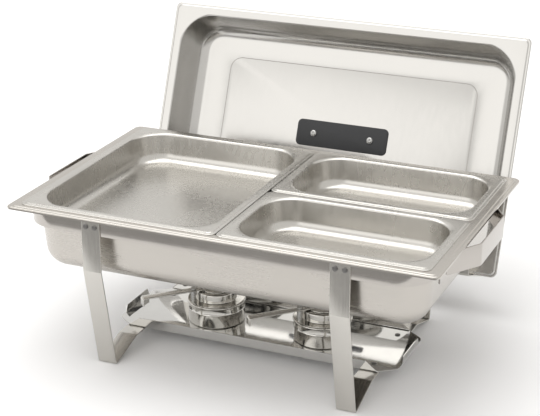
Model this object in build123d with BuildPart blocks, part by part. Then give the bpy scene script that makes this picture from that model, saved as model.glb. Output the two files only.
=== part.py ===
from build123d import *
from math import cos, radians, sin, tan
import os

os.makedirs("parts", exist_ok=True)

# A food warmer in gastronorm sizes.  Every pan is drawn from thin sheet, the stand is bent from flat
# strip and riveted, and the lid stands on edge behind it in two rests.  X is the long way, Y runs to
# the back, Z is up, and the origin is on the table under the middle of the whole set.

# ---- Food pans: one half size on the left, two quarter sizes on the right ------------------------
GRID_LENGTH = 530.0  # the full opening that the three pans fill together
GRID_WIDTH = 325.0
PAN_GAP = 1.0  # between neighbouring rims
RIM_HEIGHT = 209.0  # top of the food pan rims above the table
FOOD_RIM = 12.5  # flat rim, from the outer edge to the opening
FOOD_LIP = 2.2  # turned-down edge that the pan rests on
FOOD_DEPTH = 40.0
FOOD_SLOPE = 6.0  # degrees that the walls lean in
FOOD_CORNER = 46.0  # opening corner radius of the half pan
QUARTER_CORNER = 42.0
FOOD_RIM_CORNER = 9.0
FOOD_BOTTOM_ROUND = 14.0
SHEET = 0.8  # sheet of every pan and of the lid

# ---- Water pan -----------------------------------------------------------------------------------
WATER_BORDER_X = 14.0  # how far its rim shows beyond the food pans
WATER_BORDER_Y = 10.5
WATER_CLEARANCE = 4.0  # round the food pans at its mouth
WATER_CORNER = 42.0  # corner radius of its mouth
WATER_UNDER = 45.0  # how much deeper it is than the food pans
WATER_SLOPE = 5.0
WATER_LIP = 4.0
WATER_RIM_CORNER = 8.0
WATER_BOTTOM_ROUND = 24.0

# ---- Stand ---------------------------------------------------------------------------------------
RING_SETBACK_X = 16.2  # from the water pan's outer edge to the ring's outer face, at the ends
RING_SETBACK_Y = 5.0  # and along the sides
RING_STRIP = 22.0  # height of the ring's strip
RING_THICK = 1.5
RING_CORNER = 44.0
STRIP_WIDTH = 25.0  # legs and lid rests
STRIP_THICK = 2.0
LEG_INSET = 100.5  # from the end of the ring to the middle of each leg strip
LEG_TOP_GAP = 1.0
LEG_BEND_Z = 136.0  # the leg leaves the vertical here
FOOT_Y = 139.0  # middle of the V at the table
FOOT_FLAT = 4.5
ARM_Y = 86.0  # the inner arm levels out here
ARM_RISE = 15.0
LEG_BEND_R = 8.0
FOOT_R = 2.4

# ---- Fuel tray -----------------------------------------------------------------------------------
TRAY_THICK = 1.0
TRAY_HALF_Y = 64.0
TRAY_RAIL = 12.0  # height of the long upturned rails above the tray floor
RAIL_TOP_INSET = 5.5  # from the middle of the leg strip in to the end of the rail's top edge
RAIL_FOOT_REACH = 11.5  # and out to the end of its foot
TRAY_RIVET_Y = 44.8
TRAY_END_REACH = 32.5  # tray end beyond the middle of the leg strip
TRAY_END_HALF_Y = 46.0
TRAY_END_ROUND = 12.0
END_LIP = 9.0
END_LIP_HALF_Y = 33.0
END_LIP_TAPER = 4.5

# ---- Carrying handles ----------------------------------------------------------------------------
HANDLE_STRIP = 28.0
HANDLE_REACH = 28.0  # from the ring's outer face to the grip's inner face
HANDLE_GRIP_HALF = 48.0
HANDLE_ROOT_HALF = 92.0
HANDLE_TAB = 26.0
HANDLE_DROP = 0.8  # under the water pan's turned-down edge
HANDLE_BEND_R = 6.0

# ---- Burners -------------------------------------------------------------------------------------
BURNER_X = 75.0
CUP_R = 37.0
CUP_HEIGHT = 30.0
CUP_WALL = 0.8
CUP_BEAD = 1.6  # radius of the rolled edge
CAN_GAP = 4.0  # between the can and the cup
CAN_TOP_GAP = 5.2  # from the can's edge up to the cup's
CAN_WALL = 0.6
FLANGE_WIDTH = 11.0  # from the cup's wall in to the collar's neck
COLLAR_RISE = 13.0
COLLAR_WALL = 0.8
FLAME_RIM = 10.0  # from the neck in to the flame opening
CAP_OVERLAP = 4.0  # cap beyond the flame opening
CAP_THICK = 1.4
CAP_ROUND = 1.0  # top edge of the cap
STUD_R = 2.5
STUD_SHOULDER = 1.0  # how far the shoulder under the lever stands out from the stud
STUD_HEAD = 1.2
STUD_HEAD_OVERHANG = 1.5
STUD_INSET = 5.0  # from the cup's wall in to the stud that the snuffer turns on
LEVER_WIDTH = 12.0
LEVER_THICK = 1.5
LEVER_CORNER = 3.6
LEVER_TAIL = 12.0  # how far it runs over the cap past the burner's axis
LEVER_BEYOND = 65.0  # from the cup's wall to the end of the lever
LEVER_END = 9.0  # turned-down finger end
LEVER_END_WIDTH = 11.4
LEVER_ANGLE = 225.0  # degrees from +X, so it points to the front left
RUN_CLEARANCE = 0.1  # round studs and rivets
SLIDE_CLEARANCE = 0.3  # between pieces that lift apart
OVERCUT = 1.0  # how far a cut starts and ends outside the metal

# ---- Lid -----------------------------------------------------------------------------------------
LID_LEAN = 22.0  # degrees back from upright
LID_SHIFT_X = -16.0
LID_GAP = 16.0  # from the water pan's rim back to the lower edge of the lid
LID_FOOT_Z = 54.0
LID_RIM = 15.0
LID_DEPTH = 55.0
LID_SLOPE = 14.0
LID_CORNER = 47.0
LID_RIM_CORNER = 8.0
LID_BOTTOM_ROUND = 18.0
LID_LIP = 2.5
PLATE_OVERHANG = 26.0  # plate and grip beyond each screw
PLATE_WIDTH = 38.0
PLATE_THICK = 3.0
PLATE_CORNER = 7.0
PLATE_ROUND = 1.0  # edge that faces the food
SCREW_SPACING = 86.0
SCREW_R = 2.5
SCREW_HEAD_R = 4.6
SCREW_HEAD = 2.2
INSERT_R = 4.0
INSERT_LENGTH = 12.0
SCREW_END_GAP = 2.0  # left between the screw and the bottom of its insert
GRIP_WIDTH = 24.0
GRIP_HEIGHT = 38.0
GRIP_BAR = 13.0
GRIP_ROUND = 11.7

# ---- Lid rests -----------------------------------------------------------------------------------
REST_INSET = 57.0  # from the end of the ring to the middle of each rest
REST_PRONG = 60.0
REST_BEND_R = 5.0

# ---- Rivets --------------------------------------------------------------------------------------
RIVET_R = 2.0
RIVET_HEAD_R = 3.4
RIVET_HEAD = 1.2
RIVET_TAIL_R = 2.8  # the head closed on the far side
RIVET_PITCH = 12.0

SIDES = (("left", -1), ("right", 1))

# ---- Sizes that follow ---------------------------------------------------------------------------
half_grid_x = GRID_LENGTH / 2
half_grid_y = GRID_WIDTH / 2
half_pan_x = half_grid_x - PAN_GAP / 2  # rim size of a half pan along X
quarter_pan_y = half_grid_y - PAN_GAP / 2
water_top = RIM_HEIGHT - FOOD_LIP
water_half_x = half_grid_x + WATER_BORDER_X
water_half_y = half_grid_y + WATER_BORDER_Y
mouth_half_x = half_grid_x - FOOD_RIM + SHEET + WATER_CLEARANCE
mouth_half_y = half_grid_y - FOOD_RIM + SHEET + WATER_CLEARANCE
ring_top = water_top - SHEET
ring_half_x = water_half_x - RING_SETBACK_X - SHEET
ring_half_y = water_half_y - RING_SETBACK_Y - SHEET
water_depth = FOOD_DEPTH + WATER_UNDER
leg_x = ring_half_x - LEG_INSET
rest_x = ring_half_x - REST_INSET
rail_top_x = leg_x - RAIL_TOP_INSET
rail_foot_x = leg_x + RAIL_FOOT_REACH
tray_end_x = leg_x + TRAY_END_REACH
collar_r = CUP_R - FLANGE_WIDTH
flame_r = collar_r - FLAME_RIM
cap_r = flame_r + CAP_OVERLAP
can_r = CUP_R - CAN_GAP
can_height = CUP_HEIGHT - CUP_WALL - CAN_TOP_GAP
stud_at = CUP_R - STUD_INSET
lever_reach = CUP_R + LEVER_BEYOND
lid_foot_y = water_half_y + LID_GAP
plate_length = SCREW_SPACING + 2 * PLATE_OVERHANG
strip_mid = STRIP_THICK / 2
leg_y = ring_half_y + strip_mid  # middle of the leg strip's thickness
arm_z = strip_mid + ARM_RISE
tray_z = arm_z + strip_mid  # underside of the tray
tray_floor = tray_z + TRAY_THICK
handle_top = water_top - WATER_LIP - HANDLE_DROP
rivet_z = ring_top - RING_STRIP / 2
cup_top = tray_floor + CUP_HEIGHT
collar_top = cup_top + COLLAR_RISE
cap_z = collar_top + SLIDE_CLEARANCE
lever_z = cap_z + CAP_THICK
stud_z = cup_top + COLLAR_WALL
lean_s = sin(radians(LID_LEAN))
lean_c = cos(radians(LID_LEAN))

# The lid's upper back corner is the rearmost point, so the stand sits forward of the origin.
corner_up = GRID_WIDTH - LID_RIM - LID_DEPTH * tan(radians(LID_SLOPE)) - LID_BOTTOM_ROUND
corner_back = LID_DEPTH - LID_BOTTOM_ROUND
lid_reach = lid_foot_y + corner_up * lean_s + corner_back * lean_c + LID_BOTTOM_ROUND
STAND_Y = (water_half_y - lid_reach) / 2


def level(z, x=0.0, y=0.0):
    """Horizontal plane at height z, its origin x, y from the middle of the stand."""
    return Plane((x, STAND_Y + y, z))


def upright(x):
    """Vertical plane across the stand: local x runs to the back and local y up."""
    return Plane(origin=(x, STAND_Y, 0), x_dir=(0, 1, 0), z_dir=(1, 0, 0))


def facing(y, outward=-1):
    """Vertical plane along the stand at depth y, its normal to the front or the back."""
    return Plane(origin=(0, STAND_Y + y, 0), x_dir=(-outward, 0, 0), z_dir=(0, outward, 0))


def ending(x, outward=1):
    """Vertical plane at one end of the stand, its normal pointing out along X."""
    return Plane(origin=(x, STAND_Y, 0), x_dir=(0, outward, 0), z_dir=(outward, 0, 0))


lid_mouth = Plane(
    origin=(
        LID_SHIFT_X,
        STAND_Y + lid_foot_y + half_grid_y * lean_s,
        LID_FOOT_Z + half_grid_y * lean_c,
    ),
    x_dir=(1, 0, 0),
    z_dir=(0, -lean_c, lean_s),
)


def beside_lid(back, up):
    """Point in an upright plane, from the lid's lower edge: back through its depth and up its face."""
    return (
        lid_foot_y + up * lean_s + back * lean_c,
        LID_FOOT_Z + up * lean_c - back * lean_s,
    )


def pan_block(inward, size, corner, depth, slope, bottom_round):
    """Return a solid block with leaning sides and a rounded bottom, drawn down from inward."""
    with BuildSketch(inward) as section:
        RectangleRounded(*size, corner)
    block = extrude(section.sketch, amount=depth, taper=slope, mode=Mode.PRIVATE)
    bottom = block.faces().sort_by(Axis(inward.origin, inward.z_dir))[-1]
    return block.fillet(bottom_round, bottom.edges())


def drawn_shell(mouth, rim, opening, corner, rim_corner, depth, slope, bottom_round, lip):
    """Add a drawn pan: sloping walls under an opening, a flat rim round it and a turned-down edge.

    mouth is the plane of the rim's top face, with its normal out of the pan.
    """
    inward = Plane(origin=mouth.origin, x_dir=mouth.x_dir, z_dir=-mouth.z_dir)
    outside = (opening[0] + 2 * SHEET, opening[1] + 2 * SHEET)
    add(pan_block(inward, outside, corner + SHEET, depth, slope, bottom_round + SHEET))
    inside = pan_block(inward, opening, corner, depth - SHEET, slope, bottom_round)
    add(inside, mode=Mode.SUBTRACT)
    with BuildSketch(inward) as section:
        RectangleRounded(*rim, rim_corner)
        RectangleRounded(*opening, corner, mode=Mode.SUBTRACT)
    extrude(section.sketch, amount=SHEET)
    with BuildSketch(inward) as section:
        RectangleRounded(*rim, rim_corner)
        RectangleRounded(rim[0] - 2 * SHEET, rim[1] - 2 * SHEET, rim_corner - SHEET, mode=Mode.SUBTRACT)
    extrude(section.sketch, amount=lip)


def bent_strip(points, radii, plane, width, thick):
    """Add a flat strip of one thickness whose middle follows points, bent to the given radii."""
    with BuildSketch(plane) as section:
        with BuildLine():
            path = FilletPolyline(*points, radius=radii)
        trace(path, line_width=thick)
    extrude(section.sketch, amount=width / 2, both=True)


def rivets(spots, grip, tail=RIVET_HEAD):
    """Add one rivet for each plane in spots: its origin on the outer face, normal outwards.

    grip is the thickness that the rivet holds together.
    """
    for spot in spots:
        with BuildSketch(spot) as section:
            Circle(RIVET_HEAD_R)
        extrude(section.sketch, amount=RIVET_HEAD)
        with BuildSketch(spot) as section:
            Circle(RIVET_R)
        extrude(section.sketch, amount=-grip)
        with BuildSketch(spot.offset(-grip)) as section:
            Circle(RIVET_TAIL_R)
        extrude(section.sketch, amount=-tail)


def holes(spots, radius, depth):
    """Cut a round hole through the piece at each plane in spots."""
    for spot in spots:
        with BuildSketch(spot.offset(OVERCUT)) as section:
            Circle(radius)
        extrude(section.sketch, amount=-depth - 2 * OVERCUT, mode=Mode.SUBTRACT)


# ---- Where the rivets go -------------------------------------------------------------------------
leg_spots = []
rest_spots = []
handle_spots = []
tray_spots = []
for side in (-1, 1):
    for out in (-1, 1):
        face = facing(out * (ring_half_y + STRIP_THICK), out)
        for step in (-0.5, 0.5):
            x = side * leg_x + step * RIVET_PITCH
            leg_spots.append(face.shift_origin((x, STAND_Y + out * (ring_half_y + STRIP_THICK), rivet_z)))
        end = ending(side * (ring_half_x + STRIP_THICK), side)
        y = out * (HANDLE_ROOT_HALF + HANDLE_TAB / 2)
        handle_spots.append(
            end.shift_origin((side * (ring_half_x + STRIP_THICK), STAND_Y + y, rivet_z))
        )
        tray_spots.append(level(tray_floor, side * leg_x, out * TRAY_RIVET_Y))
    back = facing(ring_half_y + STRIP_THICK, 1)
    for step in (-0.5, 0.5):
        x = side * rest_x + step * RIVET_PITCH
        rest_spots.append(back.shift_origin((x, STAND_Y + ring_half_y + STRIP_THICK, rivet_z)))
rivet_hole = RIVET_R + RUN_CLEARANCE

# ---- Stand ---------------------------------------------------------------------------------------
with BuildPart() as support_ring:
    with BuildSketch(level(ring_top)):
        RectangleRounded(2 * ring_half_x, 2 * ring_half_y, RING_CORNER)
        RectangleRounded(
            2 * (ring_half_x - RING_THICK),
            2 * (ring_half_y - RING_THICK),
            RING_CORNER - RING_THICK,
            mode=Mode.SUBTRACT,
        )
    extrude(amount=-RING_STRIP)
    holes(leg_spots + rest_spots + handle_spots, rivet_hole, STRIP_THICK + RING_THICK)
support_ring.part.label = "support_ring"
export_step(support_ring.part, "parts/support_ring.step")

leg_path = [
    (-leg_y, ring_top - LEG_TOP_GAP),
    (-leg_y, LEG_BEND_Z),
    (-FOOT_Y - FOOT_FLAT / 2, strip_mid),
    (-FOOT_Y + FOOT_FLAT / 2, strip_mid),
    (-ARM_Y, arm_z),
    (ARM_Y, arm_z),
    (FOOT_Y - FOOT_FLAT / 2, strip_mid),
    (FOOT_Y + FOOT_FLAT / 2, strip_mid),
    (leg_y, LEG_BEND_Z),
    (leg_y, ring_top - LEG_TOP_GAP),
]
leg_radii = [LEG_BEND_R, FOOT_R, FOOT_R, LEG_BEND_R, LEG_BEND_R, FOOT_R, FOOT_R, LEG_BEND_R]

for name, side in SIDES:
    with BuildPart() as leg_strip:
        bent_strip(leg_path, leg_radii, upright(side * leg_x), STRIP_WIDTH, STRIP_THICK)
        holes(leg_spots, rivet_hole, STRIP_THICK)
        holes(tray_spots, rivet_hole, TRAY_THICK + STRIP_THICK)
    leg_strip.part.label = f"leg_strip_{name}"
    export_step(leg_strip.part, f"parts/leg_strip_{name}.step")

with BuildPart() as fuel_tray:
    with BuildSketch(level(tray_z)):
        with BuildLine():
            Polyline(
                (-rail_foot_x, -TRAY_HALF_Y),
                (rail_foot_x, -TRAY_HALF_Y),
                (tray_end_x, -TRAY_END_HALF_Y),
                (tray_end_x, TRAY_END_HALF_Y),
                (rail_foot_x, TRAY_HALF_Y),
                (-rail_foot_x, TRAY_HALF_Y),
                (-tray_end_x, TRAY_END_HALF_Y),
                (-tray_end_x, -TRAY_END_HALF_Y),
                close=True,
            )
        make_face()
        fillet(vertices().group_by(Axis.X)[0] + vertices().group_by(Axis.X)[-1], TRAY_END_ROUND)
    extrude(amount=TRAY_THICK)
    for out in (-1, 1):
        with BuildSketch(facing(out * TRAY_HALF_Y, out)):
            with BuildLine():
                Polyline(
                    (-rail_foot_x, tray_z),
                    (rail_foot_x, tray_z),
                    (rail_top_x, tray_floor + TRAY_RAIL),
                    (-rail_top_x, tray_floor + TRAY_RAIL),
                    close=True,
                )
            make_face()
        extrude(amount=-TRAY_THICK)
        with BuildSketch(ending(out * tray_end_x, out)):
            with BuildLine():
                Polyline(
                    (-END_LIP_HALF_Y, tray_z),
                    (END_LIP_HALF_Y, tray_z),
                    (END_LIP_HALF_Y - END_LIP_TAPER, tray_floor + END_LIP),
                    (-END_LIP_HALF_Y + END_LIP_TAPER, tray_floor + END_LIP),
                    close=True,
                )
            make_face()
        extrude(amount=-TRAY_THICK)
    holes(tray_spots, rivet_hole, TRAY_THICK)
fuel_tray.part.label = "fuel_tray"
export_step(fuel_tray.part, "parts/fuel_tray.step")


def handle_path(side):
    """Middle line of a carrying handle, seen from above: tab, slant, grip, slant, tab."""
    root = side * (ring_half_x + strip_mid)
    grip = side * (ring_half_x + HANDLE_REACH + strip_mid)
    half = [
        (root, HANDLE_ROOT_HALF + HANDLE_TAB),
        (root, HANDLE_ROOT_HALF),
        (grip, HANDLE_GRIP_HALF),
    ]
    return half + [(x, -y) for x, y in reversed(half)]


for name, side in SIDES:
    with BuildPart() as carry_handle:
        middle = level(handle_top - HANDLE_STRIP / 2)
        bent_strip(handle_path(side), HANDLE_BEND_R, middle, HANDLE_STRIP, STRIP_THICK)
        holes(handle_spots, rivet_hole, STRIP_THICK)
    carry_handle.part.label = f"carry_handle_{name}"
    export_step(carry_handle.part, f"parts/carry_handle_{name}.step")

# Each lid rest hangs from the back of the ring, runs under the lid's lower edge at right angles to
# its face and turns up behind it.
rest_under = -SLIDE_CLEARANCE - strip_mid
rest_behind = LID_DEPTH + SLIDE_CLEARANCE + strip_mid
arm_start = (leg_y - lid_foot_y - rest_under * lean_s) / lean_c
rest_path = [
    (leg_y, ring_top - LEG_TOP_GAP),
    beside_lid(arm_start, rest_under),
    beside_lid(rest_behind, rest_under),
    beside_lid(rest_behind, REST_PRONG),
]

for name, side in SIDES:
    with BuildPart() as lid_rest:
        bent_strip(rest_path, REST_BEND_R, upright(side * rest_x), STRIP_WIDTH, STRIP_THICK)
        holes(rest_spots, rivet_hole, STRIP_THICK)
    lid_rest.part.label = f"lid_rest_{name}"
    export_step(lid_rest.part, f"parts/lid_rest_{name}.step")

with BuildPart() as leg_rivets:
    rivets(leg_spots, STRIP_THICK + RING_THICK)
leg_rivets.part.label = "leg_rivets"
export_step(leg_rivets.part, "parts/leg_rivets.step")

with BuildPart() as handle_rivets:
    rivets(handle_spots, STRIP_THICK + RING_THICK)
handle_rivets.part.label = "handle_rivets"
export_step(handle_rivets.part, "parts/handle_rivets.step")

with BuildPart() as rest_rivets:
    rivets(rest_spots, STRIP_THICK + RING_THICK)
rest_rivets.part.label = "rest_rivets"
export_step(rest_rivets.part, "parts/rest_rivets.step")

with BuildPart() as tray_rivets:
    rivets(tray_spots, TRAY_THICK + STRIP_THICK)
tray_rivets.part.label = "tray_rivets"
export_step(tray_rivets.part, "parts/tray_rivets.step")

# ---- Pans ----------------------------------------------------------------------------------------
with BuildPart() as water_pan:
    drawn_shell(
        level(water_top),
        (2 * water_half_x, 2 * water_half_y),
        (2 * mouth_half_x, 2 * mouth_half_y),
        WATER_CORNER,
        WATER_RIM_CORNER,
        water_depth,
        WATER_SLOPE,
        WATER_BOTTOM_ROUND,
        WATER_LIP,
    )
water_pan.part.label = "water_pan"
export_step(water_pan.part, "parts/water_pan.step")

with BuildPart() as half_food_pan:
    drawn_shell(
        level(RIM_HEIGHT, -half_grid_x / 2 - PAN_GAP / 4),
        (half_pan_x, GRID_WIDTH),
        (half_pan_x - 2 * FOOD_RIM, GRID_WIDTH - 2 * FOOD_RIM),
        FOOD_CORNER,
        FOOD_RIM_CORNER,
        FOOD_DEPTH,
        FOOD_SLOPE,
        FOOD_BOTTOM_ROUND,
        FOOD_LIP,
    )
half_food_pan.part.label = "half_food_pan"
export_step(half_food_pan.part, "parts/half_food_pan.step")

for name, out in (("front", -1), ("rear", 1)):
    with BuildPart() as quarter_food_pan:
        drawn_shell(
            level(RIM_HEIGHT, half_grid_x / 2 + PAN_GAP / 4, out * (half_grid_y / 2 + PAN_GAP / 4)),
            (half_pan_x, quarter_pan_y),
            (half_pan_x - 2 * FOOD_RIM, quarter_pan_y - 2 * FOOD_RIM),
            QUARTER_CORNER,
            FOOD_RIM_CORNER,
            FOOD_DEPTH,
            FOOD_SLOPE,
            FOOD_BOTTOM_ROUND,
            FOOD_LIP,
        )
    quarter_food_pan.part.label = f"quarter_food_pan_{name}"
    export_step(quarter_food_pan.part, f"parts/quarter_food_pan_{name}.step")

# ---- Lid -----------------------------------------------------------------------------------------
lid_inside = lid_mouth.offset(SHEET - LID_DEPTH)  # inner face of the lid's floor
lid_outside = lid_mouth.offset(-LID_DEPTH)
plate_face = lid_inside.offset(PLATE_THICK)

with BuildPart() as lid_shell:
    drawn_shell(
        lid_mouth,
        (GRID_LENGTH, GRID_WIDTH),
        (GRID_LENGTH - 2 * LID_RIM, GRID_WIDTH - 2 * LID_RIM),
        LID_CORNER,
        LID_RIM_CORNER,
        LID_DEPTH,
        LID_SLOPE,
        LID_BOTTOM_ROUND,
        LID_LIP,
    )
    with BuildSketch(lid_inside.offset(OVERCUT)):
        with GridLocations(SCREW_SPACING, 1, 2, 1):
            Circle(SCREW_R + RUN_CLEARANCE)
    extrude(amount=-SHEET - 2 * OVERCUT, mode=Mode.SUBTRACT)
lid_shell.part.label = "lid_shell"
export_step(lid_shell.part, "parts/lid_shell.step")

with BuildPart() as lid_inner_plate:
    with BuildSketch(lid_inside):
        RectangleRounded(plate_length, PLATE_WIDTH, PLATE_CORNER)
        with GridLocations(SCREW_SPACING, 1, 2, 1):
            Circle(SCREW_R + RUN_CLEARANCE, mode=Mode.SUBTRACT)
    extrude(amount=PLATE_THICK)
    fillet(faces().sort_by(Axis(lid_mouth.origin, lid_mouth.z_dir))[-1].outer_wire().edges(), PLATE_ROUND)
lid_inner_plate.part.label = "lid_inner_plate"
export_step(lid_inner_plate.part, "parts/lid_inner_plate.step")

grip_section = Plane(
    origin=lid_outside.origin, x_dir=lid_outside.x_dir, z_dir=lid_outside.y_dir
)  # local x along the lid and local y into its depth

with BuildPart() as lid_grip:
    with BuildSketch(grip_section):
        with BuildLine():
            Polyline(
                (-plate_length / 2, 0),
                (plate_length / 2, 0),
                (plate_length / 2 - GRIP_BAR, GRIP_HEIGHT),
                (-plate_length / 2 + GRIP_BAR, GRIP_HEIGHT),
                close=True,
            )
        make_face()
        fillet(vertices().group_by(Axis.Y)[-1], GRIP_ROUND)
        with Locations((0, (GRIP_HEIGHT - GRIP_BAR) / 2)):
            Rectangle(
                SCREW_SPACING - 2 * GRIP_BAR, GRIP_HEIGHT - GRIP_BAR, mode=Mode.SUBTRACT
            )
    extrude(amount=GRIP_WIDTH / 2, both=True)
    with BuildSketch(lid_outside):
        with GridLocations(SCREW_SPACING, 1, 2, 1):
            Circle(INSERT_R)
    extrude(amount=-INSERT_LENGTH, mode=Mode.SUBTRACT)
lid_grip.part.label = "lid_grip"
export_step(lid_grip.part, "parts/lid_grip.step")

with BuildPart() as grip_inserts:
    with BuildSketch(lid_outside):
        with GridLocations(SCREW_SPACING, 1, 2, 1):
            Circle(INSERT_R)
            Circle(SCREW_R + RUN_CLEARANCE, mode=Mode.SUBTRACT)
    extrude(amount=-INSERT_LENGTH)
grip_inserts.part.label = "grip_inserts"
export_step(grip_inserts.part, "parts/grip_inserts.step")

with BuildPart() as lid_screws:
    with BuildSketch(plate_face):
        with GridLocations(SCREW_SPACING, 1, 2, 1):
            Circle(SCREW_HEAD_R)
    extrude(amount=SCREW_HEAD)
    with BuildSketch(plate_face):
        with GridLocations(SCREW_SPACING, 1, 2, 1):
            Circle(SCREW_R)
    extrude(amount=-(PLATE_THICK + SHEET + INSERT_LENGTH - SCREW_END_GAP))
lid_screws.part.label = "lid_screws"
export_step(lid_screws.part, "parts/lid_screws.step")


# ---- Burners -------------------------------------------------------------------------------------
def turned(profile, x):
    """Revolve a closed profile of (radius, height) points about the burner's axis at x."""
    with BuildSketch(Plane(origin=(x, STAND_Y, 0), x_dir=(1, 0, 0), z_dir=(0, -1, 0))) as section:
        with BuildLine():
            Polyline(*profile, close=True)
        make_face()
    revolve(section.sketch, axis=Axis((x, STAND_Y, 0), (0, 0, 1)))


def burner_cup(x):
    """Add the outer cup: a plain round cup with a rolled edge."""
    turned(
        [
            (0, tray_floor),
            (CUP_R, tray_floor),
            (CUP_R, cup_top),
            (CUP_R - CUP_WALL, cup_top),
            (CUP_R - CUP_WALL, tray_floor + CUP_WALL),
            (0, tray_floor + CUP_WALL),
        ],
        x,
    )
    with BuildSketch(Plane(origin=(x, STAND_Y, 0), x_dir=(1, 0, 0), z_dir=(0, -1, 0))) as bead:
        with Locations((CUP_R, cup_top - CUP_BEAD)):
            Circle(CUP_BEAD)
        with Locations((CUP_R - 2 * CUP_BEAD, cup_top - CUP_BEAD)):
            Rectangle(2 * CUP_BEAD + 2 * (CUP_BEAD - CUP_WALL), 3 * CUP_BEAD, mode=Mode.SUBTRACT)
    revolve(bead.sketch, axis=Axis((x, STAND_Y, 0), (0, 0, 1)))


def fuel_can(x):
    """Add the open inner can that holds the fuel."""
    base = tray_floor + CUP_WALL
    turned(
        [
            (0, base),
            (can_r, base),
            (can_r, base + can_height),
            (can_r - CAN_WALL, base + can_height),
            (can_r - CAN_WALL, base + CAN_WALL),
            (0, base + CAN_WALL),
        ],
        x,
    )


def stud_place(x):
    """Middle of the snuffer's stud, as seen from above."""
    angle = radians(LEVER_ANGLE)
    return (x + stud_at * cos(angle), stud_at * sin(angle))


def burner_collar(x):
    """Add the top-hat collar: a flange on the cup, a narrower neck and a flame opening."""
    turned(
        [
            (collar_r - COLLAR_WALL, cup_top),
            (CUP_R, cup_top),
            (CUP_R, stud_z),
            (collar_r, stud_z),
            (collar_r, collar_top),
            (flame_r, collar_top),
            (flame_r, collar_top - COLLAR_WALL),
            (collar_r - COLLAR_WALL, collar_top - COLLAR_WALL),
        ],
        x,
    )


def lever_spine(x):
    """Plane of the lever's underside, its local x pointing from the burner's axis out along it."""
    angle = radians(LEVER_ANGLE)
    return Plane(origin=(x, STAND_Y, lever_z), x_dir=(cos(angle), sin(angle), 0), z_dir=(0, 0, 1))


def snuffer_stud(x):
    """Add the shouldered stud on the collar's flange, with its head over the lever."""
    at = stud_place(x)
    with BuildSketch(level(stud_z, *at)) as section:
        Circle(STUD_R + STUD_SHOULDER)
    extrude(section.sketch, amount=lever_z - SLIDE_CLEARANCE - stud_z)
    with BuildSketch(level(lever_z - SLIDE_CLEARANCE, *at)) as section:
        Circle(STUD_R)
    extrude(section.sketch, amount=LEVER_THICK + 2 * SLIDE_CLEARANCE)
    with BuildSketch(level(lever_z + LEVER_THICK + SLIDE_CLEARANCE, *at)) as section:
        Circle(STUD_R + STUD_HEAD_OVERHANG)
    extrude(section.sketch, amount=STUD_HEAD)


def snuffer_cap(x):
    """Add the flat round cap that closes the flame opening."""
    with BuildSketch(level(cap_z, x)) as section:
        Circle(cap_r)
    extrude(section.sketch, amount=CAP_THICK)
    with BuildSketch(lever_spine(x).offset(OVERCUT)) as section:
        with GridLocations(RIVET_PITCH, 1, 2, 1):
            Circle(RIVET_R + RUN_CLEARANCE)
    extrude(section.sketch, amount=-CAP_THICK - 2 * OVERCUT, mode=Mode.SUBTRACT)
    fillet(edges().group_by(Axis.Z)[-1].sort_by(SortBy.RADIUS)[-1], CAP_ROUND)


def snuffer_lever(x):
    """Add the flat lever: it lies on the cap, turns on the stud and ends in a finger tab."""
    spine = lever_spine(x)
    start = -LEVER_TAIL
    with BuildSketch(spine) as flat:
        with Locations(((start + lever_reach) / 2, 0)):
            RectangleRounded(lever_reach - start, LEVER_WIDTH, LEVER_CORNER)
        with Locations((stud_at, 0)):
            Circle(STUD_R + RUN_CLEARANCE, mode=Mode.SUBTRACT)
        with GridLocations(RIVET_PITCH, 1, 2, 1):
            Circle(RIVET_R + RUN_CLEARANCE, mode=Mode.SUBTRACT)
    extrude(flat.sketch, amount=LEVER_THICK)
    with BuildSketch(spine) as section:
        with Locations((lever_reach - LEVER_THICK / 2, 0)):
            Rectangle(LEVER_THICK, LEVER_END_WIDTH)
    extrude(section.sketch, amount=-LEVER_END)
    extrude(section.sketch, amount=LEVER_THICK)


def cap_rivets(x):
    """Add the two flat rivets that join the lever to the cap."""
    spine = lever_spine(x)
    top = spine.offset(LEVER_THICK)
    with BuildSketch(top) as heads:
        with GridLocations(RIVET_PITCH, 1, 2, 1):
            Circle(RIVET_HEAD_R)
    extrude(heads.sketch, amount=RIVET_HEAD)
    with BuildSketch(top) as shanks:
        with GridLocations(RIVET_PITCH, 1, 2, 1):
            Circle(RIVET_R)
    extrude(shanks.sketch, amount=-LEVER_THICK - CAP_THICK)


for name, side in SIDES:
    x = side * BURNER_X

    with BuildPart() as cup:
        burner_cup(x)
    cup.part.label = f"burner_cup_{name}"
    export_step(cup.part, f"parts/burner_cup_{name}.step")

    with BuildPart() as can:
        fuel_can(x)
    can.part.label = f"fuel_can_{name}"
    export_step(can.part, f"parts/fuel_can_{name}.step")

    with BuildPart() as collar:
        burner_collar(x)
    collar.part.label = f"burner_collar_{name}"
    export_step(collar.part, f"parts/burner_collar_{name}.step")

    with BuildPart() as stud:
        snuffer_stud(x)
    stud.part.label = f"snuffer_stud_{name}"
    export_step(stud.part, f"parts/snuffer_stud_{name}.step")

    with BuildPart() as cap:
        snuffer_cap(x)
    cap.part.label = f"snuffer_cap_{name}"
    export_step(cap.part, f"parts/snuffer_cap_{name}.step")

    with BuildPart() as lever:
        snuffer_lever(x)
    lever.part.label = f"snuffer_lever_{name}"
    export_step(lever.part, f"parts/snuffer_lever_{name}.step")

    with BuildPart() as pair:
        cap_rivets(x)
    pair.part.label = f"cap_rivets_{name}"
    export_step(pair.part, f"parts/cap_rivets_{name}.step")
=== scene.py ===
"""Looks of a buffet food warmer: drawn steel pans, a riveted strip stand, burners and a lid.

Lengths are metres.  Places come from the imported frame, and the sheet, bend and bead sizes below
are the ones that a sheet-metal shop would set.
"""

import bpy
import bmesh
import numpy as np
from math import atan2, cos, pi, radians, sin, tan
from mathutils import Matrix, Vector


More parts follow.
